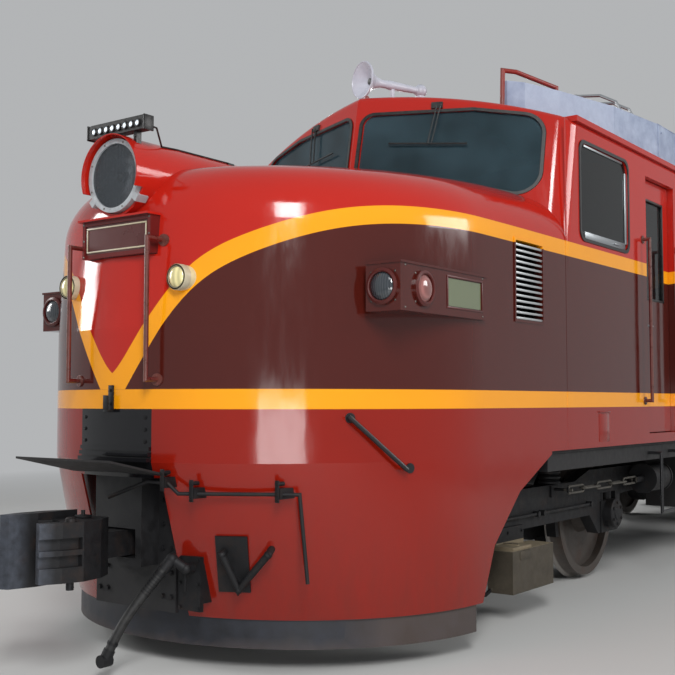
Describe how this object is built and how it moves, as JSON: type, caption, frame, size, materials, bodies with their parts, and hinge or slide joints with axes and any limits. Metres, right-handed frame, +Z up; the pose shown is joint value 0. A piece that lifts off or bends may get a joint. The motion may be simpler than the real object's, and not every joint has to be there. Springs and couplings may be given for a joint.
{
  "type": "electric locomotive",
  "caption": "Double-cab electric locomotive with rounded noses, turning bogies, opening cab doors, swinging couplers and folding roof pantographs.",
  "frame": {"origin": "on the floor under the middle of the locomotive, at the bottom of the wheel flanges", "axes": "+Z up, +Y along the locomotive away from the end seen in the picture, +X to that end's left"},
  "size_m": [3.252, 16.04, 4.6343],
  "materials": {
    "black_frame": "satin",
    "body_red": "gloss",
    "roof_paint": "satin",
    "desk_green": "satin",
    "seat_cover": "satin",
    "lamp_rim": "satin",
    "lamp_glass": "gloss",
    "black_plastic": "matte",
    "rail_paint": "gloss",
    "bare_steel": "satin",
    "horn_white": "gloss",
    "cast_fitting": "satin",
    "hose_rubber": "matte",
    "window_glass": "gloss",
    "pilot_grey": "satin",
    "bogie_black": "satin",
    "panto_red": "satin",
    "panto_steel": "satin",
    "wheel_steel": "satin"
  },
  "bodies": {
    "carbody": {"underframe": "black_frame", "engine_room": "body_red", "roof_panels": "roof_paint", "cab_desks": "desk_green", "cab_seats": "seat_cover", "headlights": "lamp_rim", "lamp_lenses": "lamp_glass", "light_bars": "black_plastic", "marker_boxes": "body_red", "handrails": "rail_paint", "end_platforms": "black_frame", "uncoupling_levers": "bare_steel", "horns": "horn_white", "wipers": "black_plastic", "air_cocks": "black_frame", "hose_couplings": "cast_fitting", "underfloor_gear": "black_frame", "window_gaskets": "hose_rubber", "roof_rails": "panto_red", "brake_hose_front": "hose_rubber", "brake_hose_rear": "hose_rubber", "nose_front": "body_red", "cab_front": "body_red", "cab_glass_front": "window_glass", "pilot_front": "pilot_grey", "panto_base_front": "panto_red", "nose_rear": "body_red", "cab_rear": "body_red", "cab_glass_rear": "window_glass", "pilot_rear": "pilot_grey", "panto_base_rear": "panto_red"},
    "coupler_front": {"coupler_front": "cast_fitting"},
    "door_left_front": {"door_left_front": "body_red"},
    "door_right_front": {"door_right_front": "body_red"},
    "bogie_front": {"bogie_frame_front": "bogie_black", "bogie_gear_front": "bogie_black", "traction_motors_front": "bogie_black"},
    "wheelset_front_outer": {"wheelset_front_outer": "wheel_steel"},
    "wheelset_front_inner": {"wheelset_front_inner": "wheel_steel"},
    "panto_lower_a_front": {"panto_lower_a_front": "panto_red"},
    "panto_upper_a_front": {"panto_upper_a_front": "panto_red"},
    "panto_lower_b_front": {"panto_lower_b_front": "panto_red"},
    "panto_upper_b_front": {"panto_upper_b_front": "panto_red"},
    "panto_head_front": {"panto_head_front": "panto_steel"},
    "coupler_rear": {"coupler_rear": "cast_fitting"},
    "door_left_rear": {"door_left_rear": "body_red"},
    "door_right_rear": {"door_right_rear": "body_red"},
    "bogie_rear": {"bogie_frame_rear": "bogie_black", "bogie_gear_rear": "bogie_black", "traction_motors_rear": "bogie_black"},
    "wheelset_rear_outer": {"wheelset_rear_outer": "wheel_steel"},
    "wheelset_rear_inner": {"wheelset_rear_inner": "wheel_steel"},
    "panto_lower_a_rear": {"panto_lower_a_rear": "panto_red"},
    "panto_upper_a_rear": {"panto_upper_a_rear": "panto_red"},
    "panto_lower_b_rear": {"panto_lower_b_rear": "panto_red"},
    "panto_upper_b_rear": {"panto_upper_b_rear": "panto_red"},
    "panto_head_rear": {"panto_head_rear": "panto_steel"}
  },
  "joints": [
    {"name": "coupler_front_swing", "type": "hinge", "parent": "carbody", "child": "coupler_front", "pos_m": [0, -6.6, 0.73], "axis": [0, 0, 1], "range_deg": [-6, 6]},
    {"name": "door_left_front_swing", "type": "hinge", "parent": "carbody", "child": "door_left_front", "pos_m": [1.424, -2.063, 1.3], "axis": [0, 0, -1], "range_deg": [0, 85]},
    {"name": "door_right_front_swing", "type": "hinge", "parent": "carbody", "child": "door_right_front", "pos_m": [-1.424, -2.063, 1.3], "axis": [0, 0, 1], "range_deg": [0, 85]},
    {"name": "bogie_front_yaw", "type": "hinge", "parent": "carbody", "child": "bogie_front", "pos_m": [0, -4.1, 0.9], "axis": [0, 0, 1], "range_deg": [-3, 3]},
    {"name": "wheelset_front_outer_spin", "type": "hinge", "parent": "bogie_front", "child": "wheelset_front_outer", "pos_m": [0, -5.5, 0.588], "axis": [1, 0, 0], "continuous": true},
    {"name": "wheelset_front_inner_spin", "type": "hinge", "parent": "bogie_front", "child": "wheelset_front_inner", "pos_m": [0, -2.7, 0.588], "axis": [1, 0, 0], "continuous": true},
    {"name": "panto_lower_a_front_raise", "type": "hinge", "parent": "carbody", "child": "panto_lower_a_front", "pos_m": [0, -1.35, 4.37], "axis": [1, 0, 0], "range_deg": [0, 55]},
    {"name": "panto_upper_a_front_fold", "type": "hinge", "parent": "panto_lower_a_front", "child": "panto_upper_a_front", "pos_m": [0, -0.3538, 4.45716], "axis": [1, 0, 0], "range_deg": [-110, 0]},
    {"name": "panto_lower_b_front_raise", "type": "hinge", "parent": "carbody", "child": "panto_lower_b_front", "pos_m": [0, -1.95, 4.37], "axis": [-1, 0, 0], "range_deg": [0, 55]},
    {"name": "panto_upper_b_front_fold", "type": "hinge", "parent": "panto_lower_b_front", "child": "panto_upper_b_front", "pos_m": [0, -2.94619, 4.45716], "axis": [-1, 0, 0], "range_deg": [-110, 0]},
    {"name": "panto_head_front_level", "type": "hinge", "parent": "panto_upper_a_front", "child": "panto_head_front", "pos_m": [0, -1.35, 4.54431], "axis": [1, 0, 0], "range_deg": [0, 55]},
    {"name": "coupler_rear_swing", "type": "hinge", "parent": "carbody", "child": "coupler_rear", "pos_m": [0, 6.6, 0.73], "axis": [0, 0, 1], "range_deg": [-6, 6]},
    {"name": "door_left_rear_swing", "type": "hinge", "parent": "carbody", "child": "door_left_rear", "pos_m": [-1.424, 2.063, 1.3], "axis": [0, 0, -1], "range_deg": [0, 85]},
    {"name": "door_right_rear_swing", "type": "hinge", "parent": "carbody", "child": "door_right_rear", "pos_m": [1.424, 2.063, 1.3], "axis": [0, 0, 1], "range_deg": [0, 85]},
    {"name": "bogie_rear_yaw", "type": "hinge", "parent": "carbody", "child": "bogie_rear", "pos_m": [0, 4.1, 0.9], "axis": [0, 0, 1], "range_deg": [-3, 3]},
    {"name": "wheelset_rear_outer_spin", "type": "hinge", "parent": "bogie_rear", "child": "wheelset_rear_outer", "pos_m": [0, 5.5, 0.588], "axis": [1, 0, 0], "continuous": true},
    {"name": "wheelset_rear_inner_spin", "type": "hinge", "parent": "bogie_rear", "child": "wheelset_rear_inner", "pos_m": [0, 2.7, 0.588], "axis": [1, 0, 0], "continuous": true},
    {"name": "panto_lower_a_rear_raise", "type": "hinge", "parent": "carbody", "child": "panto_lower_a_rear", "pos_m": [0, 1.35, 4.37], "axis": [-1, 0, 0], "range_deg": [0, 55]},
    {"name": "panto_upper_a_rear_fold", "type": "hinge", "parent": "panto_lower_a_rear", "child": "panto_upper_a_rear", "pos_m": [0, 0.3538, 4.45716], "axis": [-1, 0, 0], "range_deg": [-110, 0]},
    {"name": "panto_lower_b_rear_raise", "type": "hinge", "parent": "carbody", "child": "panto_lower_b_rear", "pos_m": [0, 1.95, 4.37], "axis": [1, 0, 0], "range_deg": [0, 55]},
    {"name": "panto_upper_b_rear_fold", "type": "hinge", "parent": "panto_lower_b_rear", "child": "panto_upper_b_rear", "pos_m": [0, 2.94619, 4.45716], "axis": [1, 0, 0], "range_deg": [-110, 0]},
    {"name": "panto_head_rear_level", "type": "hinge", "parent": "panto_upper_a_rear", "child": "panto_head_rear", "pos_m": [0, 1.35, 4.54431], "axis": [-1, 0, 0], "range_deg": [0, 55]}
  ],
  "couplings": [
    {"joint": "panto_upper_a_front_fold", "follows": "panto_lower_a_front_raise", "ratio": -2},
    {"joint": "panto_head_front_level", "follows": "panto_lower_a_front_raise", "ratio": 1},
    {"joint": "panto_lower_b_front_raise", "follows": "panto_lower_a_front_raise", "ratio": 1},
    {"joint": "panto_upper_b_front_fold", "follows": "panto_lower_a_front_raise", "ratio": -2},
    {"joint": "panto_upper_a_rear_fold", "follows": "panto_lower_a_rear_raise", "ratio": -2},
    {"joint": "panto_head_rear_level", "follows": "panto_lower_a_rear_raise", "ratio": 1},
    {"joint": "panto_lower_b_rear_raise", "follows": "panto_lower_a_rear_raise", "ratio": 1},
    {"joint": "panto_upper_b_rear_fold", "follows": "panto_lower_a_rear_raise", "ratio": -2}
  ]
}
